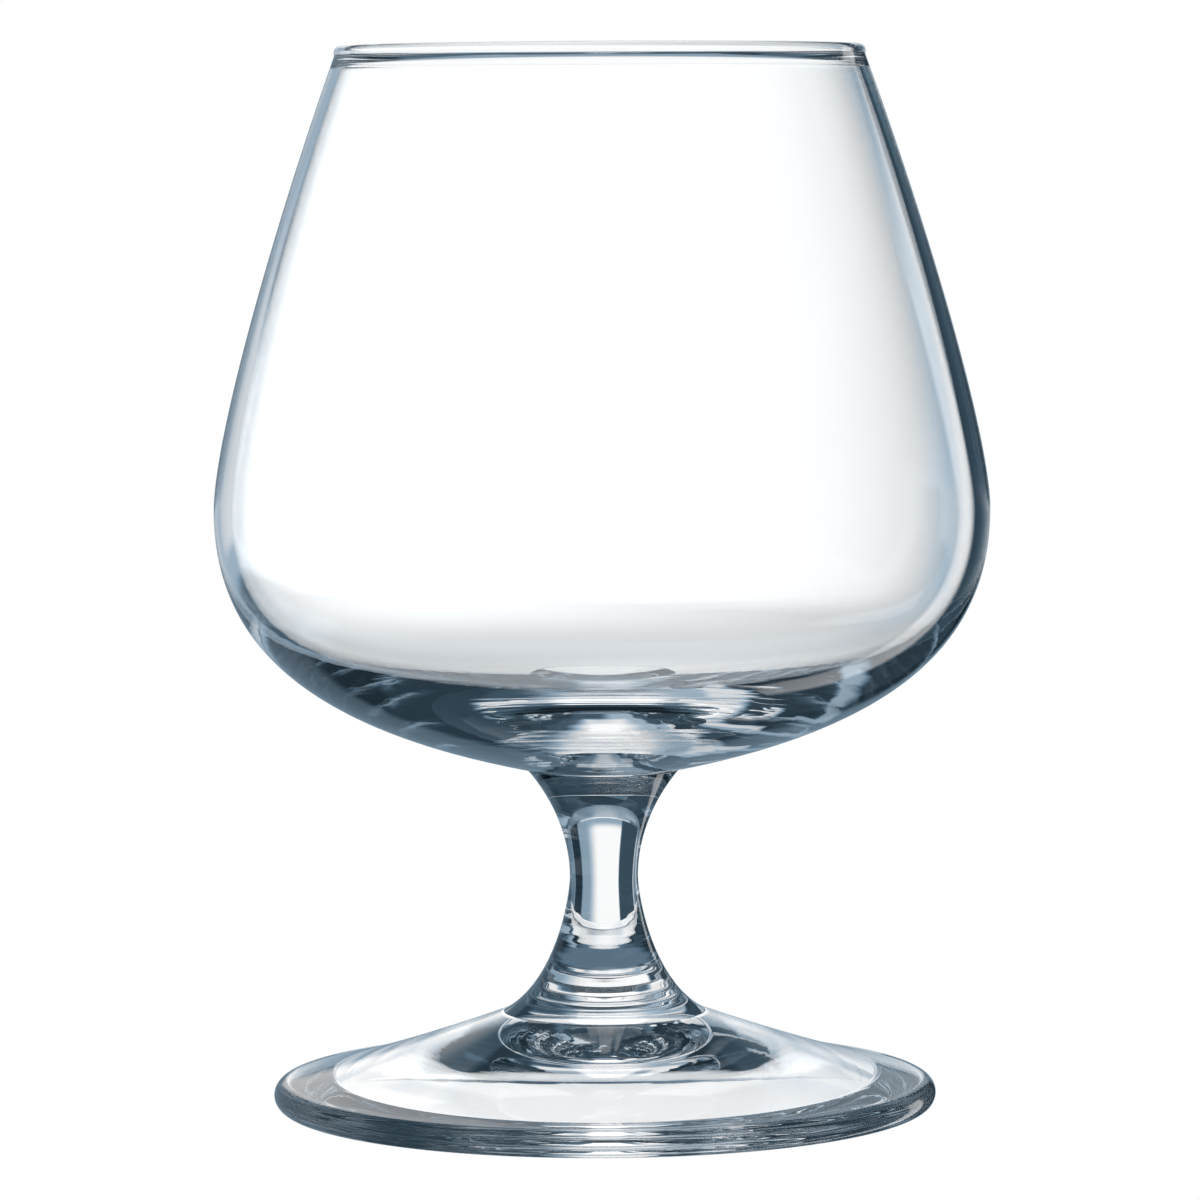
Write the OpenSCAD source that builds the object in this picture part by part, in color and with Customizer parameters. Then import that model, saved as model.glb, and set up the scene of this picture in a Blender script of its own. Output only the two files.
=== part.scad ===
// Brandy snifter: a wide glass bowl that closes in towards its lip, on a short waisted stem and a
// round foot. The three bodies of glass are fused at two seams: the bowl sits in the cup on top of the
// stem, and the stem's flat end sits on the foot. Every body is one outline turned about the Z axis.
// Millimetres, +Z up. The origin is on the axis, where the foot meets the table.

/* [Foot] */
// Diameter of the foot over its round edge
foot_d = 80.7; // [60:0.1:96]
// Height of the stem's seat on the foot above the table
foot_h = 11.6; // [10.5:0.1:14]
// Thickness of the foot's edge, which is fully round
foot_edge = 3.4; // [2:0.1:5]
// Slope of the foot's cone where it reaches the stem, in degrees
foot_slope = 20.4; // [10:0.1:30]
// How far the foot's edge runs on inwards before it starts to climb
foot_edge_pull = 1.4; // [0.5:0.1:8]
// How far the foot's cone stays straight, outwards from the stem
foot_cone_pull = 16.7; // [6:0.1:20]
// Width of the flat ring that the foot stands on
rest_ring_w = 6.6; // [2:0.1:9]
// Thickness of the foot's glass at its middle, under the stem
foot_t = 5.2; // [4:0.1:6.5]
// Slope of the hollow under the foot where it leaves the ring, in degrees
hollow_slope = 20; // [14:0.1:24]
// How far the hollow keeps that slope, as a share of its radius
hollow_edge_pull = 0.47; // [0.2:0.01:0.5]
// How far the hollow stays level from its middle, as a share of its radius
hollow_mid_pull = 0.24; // [0.2:0.01:0.6]

/* [Stem] */
// Length of the stem from the foot to the edge of the bowl's seat
stem_h = 29.7; // [23:0.1:60]
// Diameter of the seam between the stem and the foot
stem_foot_d = 24.6; // [16:0.1:34]
// Slope of the stem's flare where it meets the foot, in degrees
flare_slope = 29; // [15:0.5:60]
// How far the flare keeps that slope
flare_pull = 7.5; // [3:0.1:10]
// Diameter of the stem at its waist
waist_d = 8.3; // [6:0.1:14]
// Height of the waist above the foot
waist_h = 16.5; // [12:0.1:19]
// How straight the stem is below its waist
waist_low_pull = 2.2; // [1:0.1:6]
// How straight the stem is above its waist
waist_high_pull = 4.8; // [1:0.1:7]
// Slope of the stem's cup where it meets the bowl, in degrees
cup_slope = 48.7; // [35:0.1:70]
// How far the cup keeps that slope
cup_pull = 4.8; // [1:0.1:7]

/* [Bowl] */
// Diameter of the bowl at its belly
bowl_d = 94; // [75:0.5:130]
// Height of the bowl from the edge of its seat to the lip
bowl_h = 87.6; // [70:0.1:120]
// Height of the belly above the edge of the seat
belly_h = 31.6; // [30:0.1:45]
// Diameter of the mouth over the lip
mouth_d = 64.1; // [50:0.1:74]
// Diameter of the seam between the bowl and the stem
bowl_seat_d = 18.7; // [13:0.1:26]
// Slope of the bowl's bottom at the edge of the seat, in degrees
seat_slope = 11.9; // [6:0.1:20]
// How flat the bowl's bottom runs outwards from the seat
bottom_pull = 25.8; // [15:0.1:30]
// How upright the bowl stays below its belly
belly_low_pull = 17; // [13:0.1:22]
// How upright the bowl stays above its belly
belly_high_pull = 8.1; // [4:0.1:20]
// Lean of the wall towards the axis at the lip, in degrees
lip_lean = 19.9; // [5:0.1:30]
// How straight the wall runs down from the lip
lip_pull = 23.8; // [8:0.1:30]

/* [Wall] */
// Diameter of the melted bead at the lip
lip_bead = 1.65; // [1.4:0.05:2.5]
// Thickness of the wall just under the bead
lip_wall = 1.2; // [0.8:0.05:1.35]
// Thickness of the wall at the belly
belly_wall = 2.1; // [1.6:0.1:3.5]
// Thickness of the bowl's bottom, on the axis
bottom_t = 8.3; // [4:0.1:11]
// How flat the inside runs outwards from the middle of its bottom
well_pull = 24; // [18:0.1:32]
// How upright the inside stays below the belly
well_side_pull = 21.5; // [12:0.1:24]

/* [Hidden] */

// Facets in a full turn, and pieces in each curve and arc of an outline
$fn = 96;
curve_steps = 24;
arc_steps = 12;

glass_tint = [0.80, 0.87, 0.90, 0.55];

seat_z = foot_h + stem_h;
belly_z = seat_z + belly_h;
lip_z = seat_z + bowl_h;

// Unit vector at angle a from the X axis, in the outline's plane
function ray(a) = [cos(a), sin(a)];

// Points of an arc about c, from angle a0 to angle a1
function arc(c, r, a0, a1) = [for (i = [0:arc_steps]) c + r * ray(a0 + (a1 - a0) * i / arc_steps)];

// Points of a smooth curve that leaves p0 at angle a0 and reaches p1 at angle a1. Each pull is how far
// the curve keeps close to that end's direction. The first point, p0, is left to the piece before.
function curve(p0, a0, pull0, p1, a1, pull1) =
    let (h0 = p0 + pull0 * ray(a0), h1 = p1 - pull1 * ray(a1))
    [for (i = [1:curve_steps])
        let (t = i / curve_steps, s = 1 - t)
        s * s * s * p0 + 3 * s * s * t * h0 + 3 * s * t * t * h1 + t * t * t * p1];

// The points of a list in the other direction
function reversed(p) = [for (i = [len(p) - 1:-1:0]) p[i]];

// The dished seam between bowl and stem, from the axis out to its edge: a cap of a sphere that meets
// the bowl's bottom at seat_slope
seat_dish_r = bowl_seat_d / 2 / sin(seat_slope);
seat_dish_z = seat_z + seat_dish_r * cos(seat_slope);
function seat_dish() = arc([0, seat_dish_z], seat_dish_r, -90, -90 + seat_slope);

// The bead at the lip swallows the wall's end: bead_open is half the angle that the wall takes up
bead_c = [mouth_d / 2 - lip_bead / 2, lip_z - lip_bead / 2];
bead_open = acos(lip_wall / lip_bead);
wall_out = bead_c + lip_bead / 2 * ray(lip_lean - bead_open);
wall_in = bead_c + lip_bead / 2 * ray(180 + lip_lean + bead_open);

belly_out = [bowl_d / 2, belly_z];
belly_in = [bowl_d / 2 - belly_wall, belly_z];
well = [0, seat_dish_z - seat_dish_r + bottom_t];

// Where the foot's round edge goes over into its top, and where the stem lands on the foot
edge_c = [foot_d / 2 - foot_edge / 2, foot_edge / 2];
stem_seat = [stem_foot_d / 2, foot_h];

module turned(outline) {
    color(glass_tint) rotate_extrude() polygon(outline);
}

// Round foot: a low cone that flattens out to a round edge, domed hollow underneath
module foot() {
    cone = concat([[0, foot_h], stem_seat],
        curve(stem_seat, -foot_slope, foot_cone_pull, edge_c + [0, foot_edge / 2], 0, foot_edge_pull));
    edge = arc(edge_c, foot_edge / 2, 90, -90);
    ring_in = edge_c - [rest_ring_w, foot_edge / 2];
    hollow = curve(ring_in, 180 - hollow_slope, hollow_edge_pull * ring_in[0],
        [0, foot_h - foot_t], 180, hollow_mid_pull * ring_in[0]);
    turned(concat(cone, [for (i = [1:arc_steps]) edge[i]], [ring_in], hollow));
}

// Waisted stem: flared onto the foot, and cupped on top to carry the bowl
module stem() {
    waist = [waist_d / 2, foot_h + waist_h];
    cup_edge = [bowl_seat_d / 2, seat_z];
    flare = curve(stem_seat, 180 - flare_slope, flare_pull, waist, 90, waist_low_pull);
    cup = curve(waist, 90, waist_high_pull, cup_edge, cup_slope, cup_pull);
    dish = reversed(seat_dish());
    turned(concat([[0, foot_h], stem_seat], flare, cup, [for (i = [1:arc_steps]) dish[i]]));
}

// Blown bowl: one wall that thickens from the lip's bead to a heavy bottom
module bowl() {
    cup_edge = [bowl_seat_d / 2, seat_z];
    outside = concat(
        curve(cup_edge, seat_slope, bottom_pull, belly_out, 90, belly_low_pull),
        curve(belly_out, 90, belly_high_pull, wall_out, 90 + lip_lean, lip_pull));
    bead = arc(bead_c, lip_bead / 2, lip_lean - bead_open, 180 + lip_lean + bead_open);
    inside = concat(
        curve(wall_in, 270 + lip_lean, lip_pull, belly_in, 270, belly_high_pull),
        curve(belly_in, 270, well_side_pull, well, 180, well_pull));
    turned(concat(seat_dish(), outside, [for (i = [1:arc_steps]) bead[i]], inside));
}

foot();
stem();
bowl();
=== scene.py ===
import math
import bpy
import numpy as np
from mathutils import Euler, Matrix


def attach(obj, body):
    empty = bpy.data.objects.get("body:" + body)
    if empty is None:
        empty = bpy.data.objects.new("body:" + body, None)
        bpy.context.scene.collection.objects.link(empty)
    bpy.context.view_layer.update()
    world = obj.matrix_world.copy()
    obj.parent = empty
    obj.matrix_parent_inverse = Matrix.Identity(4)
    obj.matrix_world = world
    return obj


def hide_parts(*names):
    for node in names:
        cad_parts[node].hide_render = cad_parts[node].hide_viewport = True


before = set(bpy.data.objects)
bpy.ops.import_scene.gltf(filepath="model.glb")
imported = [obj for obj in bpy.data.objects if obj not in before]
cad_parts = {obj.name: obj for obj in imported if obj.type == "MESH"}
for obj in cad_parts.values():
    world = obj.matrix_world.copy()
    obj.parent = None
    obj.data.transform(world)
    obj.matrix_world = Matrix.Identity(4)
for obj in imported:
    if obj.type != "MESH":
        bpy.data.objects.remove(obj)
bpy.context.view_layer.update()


# Foot. A round plate of clear glass, pressed while hot into a low cone over a domed hollow, with its edge
# melted round. It stands on a wide flat ring, and the stem is fused onto the flat seat in its middle.

foot_d, foot_h, foot_edge = 80.7, 11.6, 3.4
foot_slope, foot_cone_pull, foot_edge_pull = 20.4, 16.7, 1.4
rest_ring_w, stem_foot_d = 6.6, 24.6
hollow_h, hollow_slope = 6.4, 20.0
hollow_edge_share, hollow_mid_share = 0.47, 0.24
foot_turns = 224
MM = 0.001
OUT, UP, INWARD, DOWN = 0, 90, 180, -90


def heading(angle):
    """Unit vector at that angle in degrees from the outward direction, in the outline's plane."""
    return np.array([math.cos(math.radians(angle)), math.sin(math.radians(angle))])


def bend(start, leaves, start_pull, end, arrives, end_pull, steps):
    """Outline points of a cubic curve, its start left out: the curve keeps to the angle at each end for about
    that end's pull, in millimetres. Each point is the four handles weighted by the cubic Bernstein terms."""
    t = np.linspace(0, 1, steps + 1)[1:, None]
    s = 1 - t
    a, d = np.array(start, float), np.array(end, float)
    b, c = a + start_pull * heading(leaves), d - end_pull * heading(arrives)
    return s**3 * a + 3 * s * s * t * b + 3 * s * t * t * c + t**3 * d


def rounding(centre, radius, first, last, steps):
    """Outline points of an arc about a centre, its start left out: centre plus radius times the heading."""
    a = np.radians(np.linspace(first, last, steps + 1))[1:]
    return np.array(centre) + radius * np.stack([np.cos(a), np.sin(a)], 1)


def straight(start, end, steps):
    """Outline points of a straight line, its start left out: the start plus equal shares of the way."""
    t = np.linspace(0, 1, steps + 1)[1:, None]
    return np.array(start) + t * (np.array(end, float) - np.array(start, float))


def turned(name, spans, turns):
    """Closed solid of revolution: outline point (r, z) at turn angle a lies at (r cos a, r sin a, z). spans
    are the outline's runs of points, from the axis round to the axis again, each with True where it is a
    fused seam. Seam faces take the piece's second material and stay flat, so the skin's shading stops
    there."""
    outline = np.concatenate([points for points, _ in spans])
    fused = np.concatenate([np.full(len(points), seam) for points, seam in spans])
    r, z = outline[1:-1].T * MM
    rows = len(r)
    a = np.linspace(0, 2 * np.pi, turns, endpoint=False)
    skin = np.stack([np.outer(r, np.cos(a)), np.outer(r, np.sin(a)), np.outer(z, np.ones(turns))], 2)
    poles = [[0, 0, outline[0, 1] * MM], [0, 0, outline[-1, 1] * MM]]
    i, j = np.arange(rows - 1)[:, None] * turns, np.arange(turns)[None]
    k = (j + 1) % turns
    quads = np.stack([i + j, i + k, i + turns + k, i + turns + j], 2).reshape(-1, 4)
    j, k = j[0], k[0]
    last_row = (rows - 1) * turns
    first = np.stack([np.full(turns, rows * turns), k, j], 1)
    last = np.stack([np.full(turns, rows * turns + 1), last_row + j, last_row + k], 1)
    mesh = bpy.data.meshes.new(name)
    mesh.from_pydata(np.concatenate([skin.reshape(-1, 3), poles]).tolist(), [],
                     quads.tolist() + first.tolist() + last.tolist())
    seam = np.concatenate([np.repeat(fused[2:-1], turns), np.repeat(fused[[1, -1]], turns)])
    mesh.polygons.foreach_set("material_index", seam.astype(np.int32))
    mesh.polygons.foreach_set("use_smooth", ~seam)
    piece = bpy.data.objects.new(name, mesh)
    bpy.context.scene.collection.objects.link(piece)
    return piece


class Wire:
    """A shader socket in Python expressions: each operator adds its Math node."""

    def __init__(self, tree, socket=None):
        self.tree, self.socket = tree, socket

    def add(self, kind, settings, inputs, out=0):
        """New node of that type: its settings first, then the values or links of its sockets."""
        node = self.tree.nodes.new(kind)
        for key, value in settings.items():
            setattr(node, key, value)
        for key, value in inputs.items():
            if isinstance(value, Wire):
                self.tree.links.new(value.socket, node.inputs[key])
            else:
                node.inputs[key].default_value = value
        return Wire(self.tree, node.outputs[out]) if node.outputs else None

    def maths(self, operation, a, b=0.0, c=0.0):
        """Math node: that operation on up to three values or links."""
        return self.add("ShaderNodeMath", {"operation": operation}, {0: a, 1: b, 2: c})

    def __add__(self, other):
        return self.maths("ADD", self, other)

    def __sub__(self, other):
        return self.maths("SUBTRACT", self, other)

    def __rsub__(self, other):
        return self.maths("SUBTRACT", other, self)

    def __mul__(self, other):
        return self.maths("MULTIPLY", self, other)

    __radd__, __rmul__ = __add__, __mul__


def bare_tree(owner):
    """The emptied node tree of a new material or world, to build in."""
    owner.use_nodes = True
    owner.node_tree.nodes.clear()
    return Wire(owner.node_tree)


def clear_glass(name):
    """Fire-polished clear glass, faintly cool. Its skin has a slight waviness in rings, noise over the radius
    and the height, because the mould turns. Where the foot rubs on tables, from scuff_in outwards and less
    than scuff_high over the table, finer noise breaks the polish into scuffs."""
    cool_white, glass_index = (0.985, 0.995, 1.0, 1.0), 1.52
    ring_width, ring_height = 0.0012, 3e-6
    scuff_rough, scuff_width, scuff_level = 0.06, 0.0004, 0.5
    scuff_in, scuff_high = 0.0383, 0.0002
    material = bpy.data.materials.new(name)
    wire = bare_tree(material)
    place = wire.add("ShaderNodeTexCoord", {}, {}, "Object")
    x, y, z = [wire.add("ShaderNodeSeparateXYZ", {}, {0: place}, axis) for axis in "XYZ"]
    radius = wire.maths("SQRT", x * x + y * y)
    section = wire.add("ShaderNodeCombineXYZ", {}, {0: radius, 1: z})
    rings = wire.add("ShaderNodeTexNoise", {"noise_dimensions": "2D"},
                     {"Vector": section, "Scale": 1 / ring_width, "Detail": 1.0})
    relief = wire.add("ShaderNodeBump", {}, {"Strength": 1.0, "Distance": ring_height, "Height": rings})
    marks = wire.add("ShaderNodeTexNoise", {}, {"Vector": place, "Scale": 1 / scuff_width, "Detail": 3.0})
    worn = wire.maths("GREATER_THAN", radius, scuff_in) * wire.maths("LESS_THAN", z, scuff_high)
    rough = scuff_rough * worn * wire.maths("GREATER_THAN", marks, scuff_level)
    skin = wire.add("ShaderNodeBsdfPrincipled", {},
                    {"Base Color": cool_white, "Roughness": rough, "IOR": glass_index,
                     "Transmission Weight": 1.0, "Normal": relief})
    wire.add("ShaderNodeOutputMaterial", {}, {"Surface": skin})
    return material


def fused_seam(name):
    """Glass run into glass: nothing to see."""
    material = bpy.data.materials.new(name)
    wire = bare_tree(material)
    through = wire.add("ShaderNodeBsdfTransparent", {}, {"Color": (1, 1, 1, 1)})
    wire.add("ShaderNodeOutputMaterial", {}, {"Surface": through})
    return material


edge_r = foot_edge / 2
edge_c = np.array([foot_d / 2 - edge_r, edge_r])
edge_top, edge_foot = edge_c + [0, edge_r], edge_c - [0, edge_r]
ring_in = edge_foot - [rest_ring_w, 0]
hollow_top = [0, hollow_h]
stem_seat, seat_mid = np.array([stem_foot_d / 2, foot_h]), [0, foot_h]
hollow = bend(hollow_top, OUT, hollow_mid_share * ring_in[0],
              ring_in, -hollow_slope, hollow_edge_share * ring_in[0], steps=110)
ring = straight(ring_in, edge_foot, steps=8)
edge = rounding(edge_c, edge_r, DOWN, UP, steps=40)
cone = bend(edge_top, INWARD, foot_edge_pull, stem_seat, INWARD - foot_slope, foot_cone_pull, steps=90)
seat = straight(stem_seat, seat_mid, steps=4)
foot = turned("foot", [([hollow_top], False), (hollow, False), (ring, False), (edge, False), (cone, False),
                       (seat, True)], foot_turns)
glass, seam_glass = clear_glass("glass"), fused_seam("fused seam")
foot.data.materials.append(glass)
foot.data.materials.append(seam_glass)
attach(foot, "root")
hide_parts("foot")


# Stem. A short rod of the same glass, drawn out to a waist: it flares onto the foot below and opens into a
# cup above, and both ends are fused on while hot.

stem_h, waist_d, waist_h = 29.7, 8.3, 16.5
flare_slope, flare_pull, waist_low_pull = 29.0, 7.5, 2.2
cup_slope, cup_pull, waist_high_pull = 48.7, 4.8, 4.8
bowl_seat_d, seat_slope = 18.7, 11.9
flare_ring_h, flare_ring_w, flare_crest = 0.006, 1.25, 4.0
stem_turns = 160


def rippled(points, height, width, crest):
    """The same outline with shallow rings, as a turning tool leaves them in hot glass: each point moves along
    the outline's normal by height times the sine of its way along the outline over width. The rings grow to
    their full height at crest millimetres from the outline's start and die away beyond it."""
    step = np.gradient(points, axis=0)
    length = np.hypot(step[:, 0], step[:, 1])
    way = np.cumsum(length) - length[0]
    normal = np.stack([step[:, 1], -step[:, 0]], 1) / length[:, None]
    fade = way / crest * np.exp(1 - way / crest) * np.minimum(1, (way[-1] - way) / crest)
    return points + (height * np.sin(2 * np.pi * way / width) * fade)[:, None] * normal


seat_z = foot_h + stem_h
waist = [waist_d / 2, foot_h + waist_h]
cup_edge = [bowl_seat_d / 2, seat_z]
dish_r = bowl_seat_d / 2 / math.sin(math.radians(seat_slope))
dish_c = [0, seat_z + dish_r * math.cos(math.radians(seat_slope))]
foot_end = straight(seat_mid, stem_seat, steps=4)
flare = rippled(bend(stem_seat, INWARD - flare_slope, flare_pull, waist, UP, waist_low_pull, steps=200),
                flare_ring_h, flare_ring_w, flare_crest)
cup = bend(waist, UP, waist_high_pull, cup_edge, cup_slope, cup_pull, steps=70)
bowl_end = rounding(dish_c, dish_r, DOWN + seat_slope, DOWN, steps=8)
stem = turned("stem", [([seat_mid], True), (foot_end, True), (flare, False), (cup, False), (bowl_end, True)],
              stem_turns)
stem.data.materials.append(glass)
stem.data.materials.append(seam_glass)
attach(stem, "root")
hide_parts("stem")


# Bowl. Blown into a mould as one wall of clear glass: heavy at the bottom, thin towards the mouth, with the
# cut lip melted to a round bead. Its bottom is fused into the stem's cup.

bowl_d, bowl_h, belly_h, mouth_d = 94.0, 87.6, 31.6, 64.1
lip_lean, lip_bead, lip_wall, belly_wall, bottom_t = 19.9, 1.65, 1.2, 2.1, 8.3
bottom_pull, belly_low_pull, belly_high_pull, lip_pull = 25.8, 17.0, 8.1, 23.8
well_side_pull, well_pull = 21.5, 24.0
bottom_ring_h, bottom_ring_w, bottom_crest = 0.004, 2.4, 8.0
bowl_turns = 232
belly_z, lip_z = seat_z + belly_h, seat_z + bowl_h
bead_r = lip_bead / 2
bead_c = np.array([mouth_d / 2 - bead_r, lip_z - bead_r])
bead_open = math.degrees(math.acos(lip_wall / lip_bead))
bead_first, bead_last = lip_lean - bead_open, INWARD + lip_lean + bead_open
wall_out, wall_in = bead_c + bead_r * heading(bead_first), bead_c + bead_r * heading(bead_last)
belly_out, belly_in = [bowl_d / 2, belly_z], [bowl_d / 2 - belly_wall, belly_z]
dish_mid = [0, dish_c[1] - dish_r]
well = [0, dish_mid[1] + bottom_t]
dish = rounding(dish_c, dish_r, DOWN, DOWN + seat_slope, steps=8)
bottom = rippled(bend(cup_edge, seat_slope, bottom_pull, belly_out, UP, belly_low_pull, steps=180),
                 bottom_ring_h, bottom_ring_w, bottom_crest)
side = bend(belly_out, UP, belly_high_pull, wall_out, UP + lip_lean, lip_pull, steps=44)
bead = rounding(bead_c, bead_r, bead_first, bead_last, steps=28)
inside = bend(wall_in, DOWN + lip_lean, lip_pull, belly_in, DOWN, belly_high_pull, steps=44)
well_side = bend(belly_in, DOWN, well_side_pull, well, INWARD, well_pull, steps=116)
bowl = turned("bowl", [([dish_mid], True), (dish, True), (bottom, False), (side, False), (bead, False),
                       (inside, False), (well_side, False)], bowl_turns)
bowl.data.materials.append(glass)
bowl.data.materials.append(seam_glass)
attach(bowl, "root")
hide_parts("bowl")


# Studio. Soft panels and cards stand round the glass in fixed directions, from slate blue to white. Each kind
# of light has its own set: mirrored on the outside, turned back inside the glass, let through thin walls, and
# let through solid glass. The camera itself sees only white paper and the pale table under the glass.

white, slate_blue, white_gain, veil_blue = (1, 1, 1, 1), (0.54, 1.04, 1.5, 1), 1.2, 0.3
scene = bpy.context.scene
scene.world = bpy.data.worlds.new("studio")
sky = bare_tree(scene.world)
direction = sky.add("ShaderNodeTexCoord", {}, {}, "Generated")
east, north, up = [sky.add("ShaderNodeSeparateXYZ", {}, {0: direction}, axis) for axis in "XYZ"]
turn = sky.maths("ARCTAN2", east, north) * math.degrees(1)
rise = sky.maths("ARCSINE", up) * math.degrees(1)


def panel(left, right, low, high, soft):
    """1 inside a rectangle of directions and 0 outside it, smooth over soft degrees: left and right are
    degrees of turn from straight behind the glass towards the camera's right, low and high are degrees over
    level. A direction's way in from the nearest side gives its value."""
    aside = sky.maths("ABSOLUTE", sky.maths("WRAP", turn - (left + right) / 2, 180.0, -180.0))
    height = sky.maths("MINIMUM", rise - low, high - rise)
    way_in = sky.maths("MINIMUM", (right - left) / 2 - aside, height)
    return sky.add("ShaderNodeMapRange", {"interpolation_type": "SMOOTHSTEP"},
                   {"Value": way_in, "From Min": -soft / 2, "From Max": soft / 2})


def laid(light, cover, mask):
    """Brightness of a light with a cover laid over it: the light plus the mask's share of the change."""
    return light + (cover - light) * mask


def hung(room, only=None, **panels):
    """Brightness in every direction of a room with panels hung in it, each over the last, and only for the
    light that a mask picks, where one is given. A panel is its left, right, low and high sides and its soft
    edge in degrees, and then its brightness."""
    light = room
    for *sides, shade in panels.values():
        mask = panel(*sides) if only is None else panel(*sides) * only
        light = laid(light, shade, mask)
    return light


# A ray counts its reflections and the faces of glass that it has passed: two for solid glass, more for walls.
seen, back, through = [sky.add("ShaderNodeLightPath", {}, {}, count)
                       for count in ("Is Camera Ray", "Glossy Depth", "Transmission Depth")]
reflected = sky.maths("GREATER_THAN", back, 0.5)
outside = reflected * sky.maths("LESS_THAN", through, 0.5)
thin = sky.maths("GREATER_THAN", through, 2.5)

# About 20 of these 36 panels keep values that a search against the photograph found, rounded to whole
# degrees. The others were set or changed one by one.
all_round = (-200, 200)
veil = (7, 17, -14, 28, 14)
mirrored = hung(0.03,
                grey_wall=(-60, 12, -33, 26, 5, 0.3),
                dark_post_right=(18, 42, -50, 52, 2, 0.08),
                light_strip_right=(37, 50, -60, 12, 4, 1.8),
                lamp_left=(-12, -2, 7, 33, 6, 1.1),
                lamp_right=(2, 12, 7, 33, 6, 0.6))
turned_in = hung(0.46,
                 dark_front=(128, 243, -100, 64, 3, 0.03),
                 ceiling=(*all_round, 29, 120, 9, 0.14),
                 dark_ceiling_front=(78, 244, 20, 120, 3, 0.04),
                 ceiling_lamp=(-62, -32, 65, 78, 5, 1.5),
                 dark_floor_left=(-132, -22, -100, -12, 4, 0.07),
                 floor_strip_left=(-83, -36, -39, -31, 4, 0.5),
                 fill_front=(131, 167, -9, 36, 3, 0.7),
                 dark_floor_right=(-2, 84, -50, 7, 10, 0.08),
                 strip_left=(-30, -18, 15, 41, 3, 1.1),
                 black_card_right=(46, 120, -130, 18, 12, 0.02),
                 black_card_left=(-114, -65, -48, 24, 7, 0.02),
                 dark_post_left=(-55, -28, -7, 40, 3, 0.03),
                 dark_post_right=(23, 47, -35, 40, 4, 0.04),
                 low_lamp_left=(-38, -20, -7, 3, 3, 0.8),
                 low_lamp_middle=(-10, 8, -28, 7, 12, 1.08),
                 floor=(*all_round, -120, -46, 16, 0.17))
turned_in = hung(turned_in, 1 - thin,
                 wide_bar=(-26, 24, 10, 24, 4, 0.9),
                 tall_bar=(-11, 9, 10, 50, 4, 1.3))
turned_in = hung(turned_in, thin,
                 dark_ceiling=(*all_round, 38, 120, 6, 0.05))
solid = hung(1.05,
             ceiling=(*all_round, 20, 120, 6, 0.4),
             soft_grey_right=(12, 120, -38, 84, 14, 0.35),
             dark_post_right=(29, 47, -35, 80, 3, 0.03),
             dark_post_left=(-48, -18, -32, 62, 2, 0.07),
             slate_card_left=(-90, -50, -38, 30, 5, 0.24),
             slate_card_right=(49, 98, -32, 35, 6, 0.2))
walls = hung(1.3,
             window_left=(-36, -5, -8, 18, 4, 2.2),
             far_floor=(*all_round, -120, -16, 12, 0.98),
             grey_floor_right=(1, 60, -40, -12, 8, 0.84),
             slate_veil=(*veil, 0.74),
             ceiling=(*all_round, 38, 120, 6, 0.35),
             near_floor=(*all_round, -120, -38, 10, 1.15))
light = laid(laid(laid(solid, walls, thin), turned_in, reflected), mirrored, outside)
whiteness = white_gain * light - veil_blue * panel(*veil) * thin * (1 - reflected)
hue = sky.add("ShaderNodeMix", {"data_type": "RGBA"}, {"Factor": whiteness, 6: slate_blue, 7: white}, 2)
tinted = sky.add("ShaderNodeVectorMath", {"operation": "SCALE"}, {0: hue, "Scale": light})
paper = sky.add("ShaderNodeMix", {"data_type": "RGBA"}, {"Factor": seen, 6: tinted, 7: white}, 2)
glow = sky.add("ShaderNodeBackground", {}, {"Color": paper})
sky.add("ShaderNodeOutputWorld", {}, {"Surface": glow})

table_side, table_drop = 8.0, 0.0002
corners = np.array([[-1, -1, 0], [1, -1, 0], [1, 1, 0], [-1, 1, 0]]) * table_side / 2 - [0, 0, table_drop]
table = bpy.data.objects.new("table", bpy.data.meshes.new("table"))
table.data.from_pydata(corners.tolist(), [], [[0, 1, 2, 3]])
table.data.materials.append(bpy.data.materials.new("pale table"))
top = bare_tree(table.data.materials[0])
pale = top.add("ShaderNodeEmission", {}, {"Color": white})
top.add("ShaderNodeOutputMaterial", {}, {"Surface": pale})
table.visible_diffuse = table.visible_glossy = table.visible_transmission = table.visible_shadow = False
scene.collection.objects.link(table)

bounces = 32
scene.view_settings.view_transform = "Standard"
scene.cycles.max_bounces = bounces
scene.cycles.transmission_bounces = bounces
scene.cycles.glossy_bounces = bounces
scene.cycles.transparent_max_bounces = bounces


# Camera. At the photograph's place: a long lens, a little lower than the rim and looking slightly down, with
# a trace of roll.

film_width, lens_length, sees_to = 36, 179.0, 30
camera_place, looks_down, rolls = (-0.0003, -0.7223, 0.11757), 4.415, -0.3
camera = bpy.data.objects.new("camera", bpy.data.cameras.new("camera"))
camera.data.sensor_width, camera.data.lens, camera.data.clip_end = film_width, lens_length, sees_to
camera.matrix_world = (Matrix.Translation(camera_place)
                       @ Euler((math.radians(90 - looks_down), 0, 0)).to_matrix().to_4x4()
                       @ Matrix.Rotation(math.radians(rolls), 4, "Z"))
scene.collection.objects.link(camera)
scene.camera = camera
